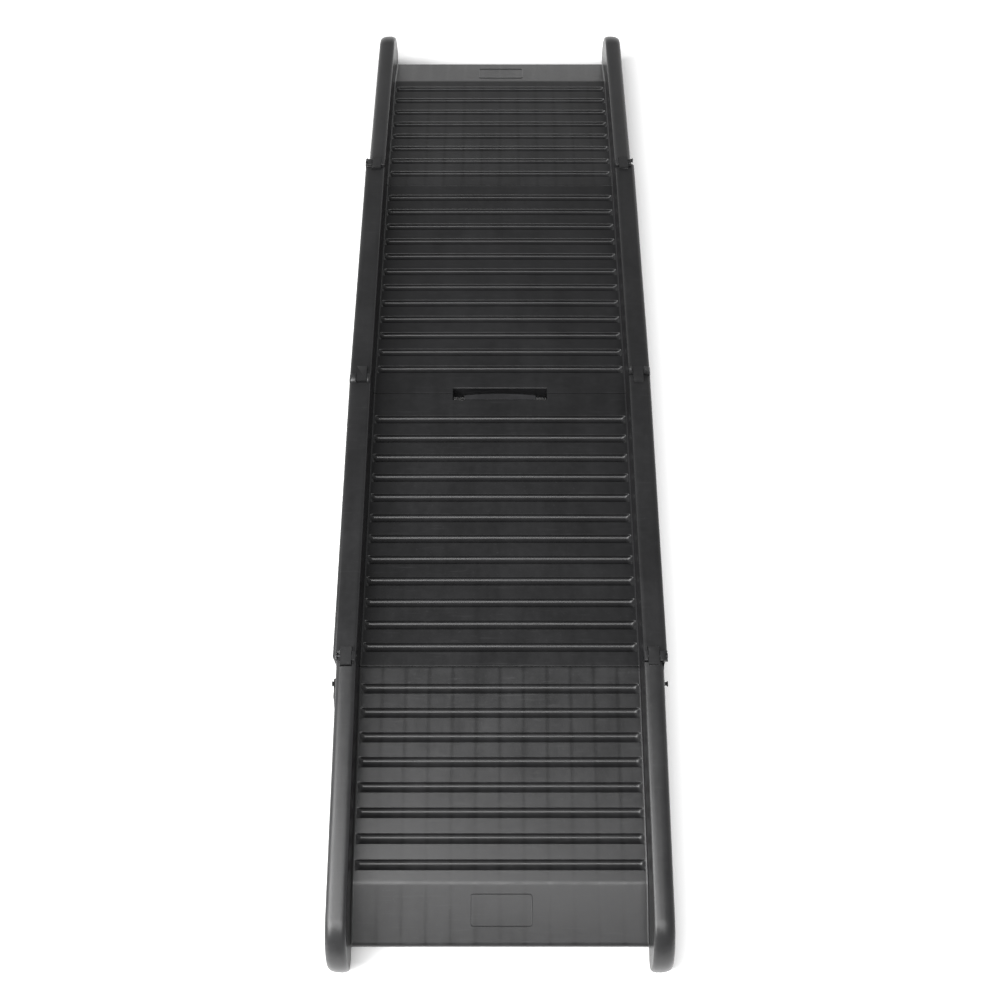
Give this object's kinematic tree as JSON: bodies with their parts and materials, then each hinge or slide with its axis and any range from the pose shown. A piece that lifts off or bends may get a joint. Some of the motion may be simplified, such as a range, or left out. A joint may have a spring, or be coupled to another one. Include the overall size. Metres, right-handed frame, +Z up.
{
  "type": "folding dog ramp",
  "caption": "Folding dog ramp: grooved black plastic decks between raised side rails, hinged end to end, with sloping lips, a carry grip at the middle seam and a latch strap.",
  "frame": {"origin": "on the floor, under the middle of the unfolded ramp's bounding box", "axes": "+X across the ramp to its right, +Y along it from the bottom end to the top end, +Z up"},
  "size_m": [0.4076, 1.4988, 0.1395],
  "materials": {
    "deck_plastic": "satin, fine moulded texture",
    "rail_plastic": "satin, fine moulded texture",
    "grip_plastic": "satin",
    "stud_plastic": "satin",
    "foot_rubber": "matt",
    "pad_rubber": "matt, ribbed",
    "strap_rubber": "matt",
    "pin_steel": "blackened",
    "screw_steel": "zinc plated"
  },
  "bodies": {
    "upper_section": {"upper_deck": "deck_plastic", "upper_rail_left": "rail_plastic", "upper_rail_right": "rail_plastic", "upper_rail_screws": "screw_steel", "middle_hinge_pin_right": "pin_steel", "top_hinge_pin_left": "pin_steel"},
    "lower_section": {"lower_deck": "deck_plastic", "lower_rail_left": "rail_plastic", "lower_rail_right": "rail_plastic", "lower_rail_screws": "screw_steel", "middle_hinge_pin_left": "pin_steel", "low_hinge_pin_right": "pin_steel", "carry_grip": "grip_plastic", "grip_screws": "screw_steel"},
    "bottom_section": {"bottom_deck": "deck_plastic", "bottom_rail_left": "rail_plastic", "bottom_rail_right": "rail_plastic", "bottom_rail_screws": "screw_steel", "low_hinge_pin_left": "pin_steel", "bottom_foot_left": "foot_rubber", "bottom_foot_right": "foot_rubber", "bottom_lip_pad": "pad_rubber", "bottom_latch_studs": "stud_plastic"},
    "top_section": {"top_deck": "deck_plastic", "top_rail_left": "rail_plastic", "top_rail_right": "rail_plastic", "top_rail_screws": "screw_steel", "top_hinge_pin_right": "pin_steel", "top_foot_left": "foot_rubber", "top_foot_right": "foot_rubber", "top_lip_pad": "pad_rubber", "top_latch_studs": "stud_plastic"},
    "strap": {"latch_strap": "strap_rubber"}
  },
  "joints": [
    {"name": "middle_fold", "type": "hinge", "parent": "upper_section", "child": "lower_section", "pos_m": [0, -0.00078, 0.0649], "axis": [1, 0, 0], "range_deg": [0, 169]},
    {"name": "low_fold", "type": "hinge", "parent": "lower_section", "child": "bottom_section", "pos_m": [0, -0.4015, 0.12247], "axis": [-1, 0, 0], "range_deg": [0, 186.6]},
    {"name": "top_fold", "type": "hinge", "parent": "upper_section", "child": "top_section", "pos_m": [0, 0.40005, 0.11392], "axis": [1, 0, 0], "range_deg": [0, 183.9]},
    {"name": "strap_swing", "type": "hinge", "parent": "bottom_section", "child": "strap", "pos_m": [-0.2001, -0.42851, 0.09981], "axis": [-1, 0, 0], "range_deg": [-20, 85]}
  ]
}
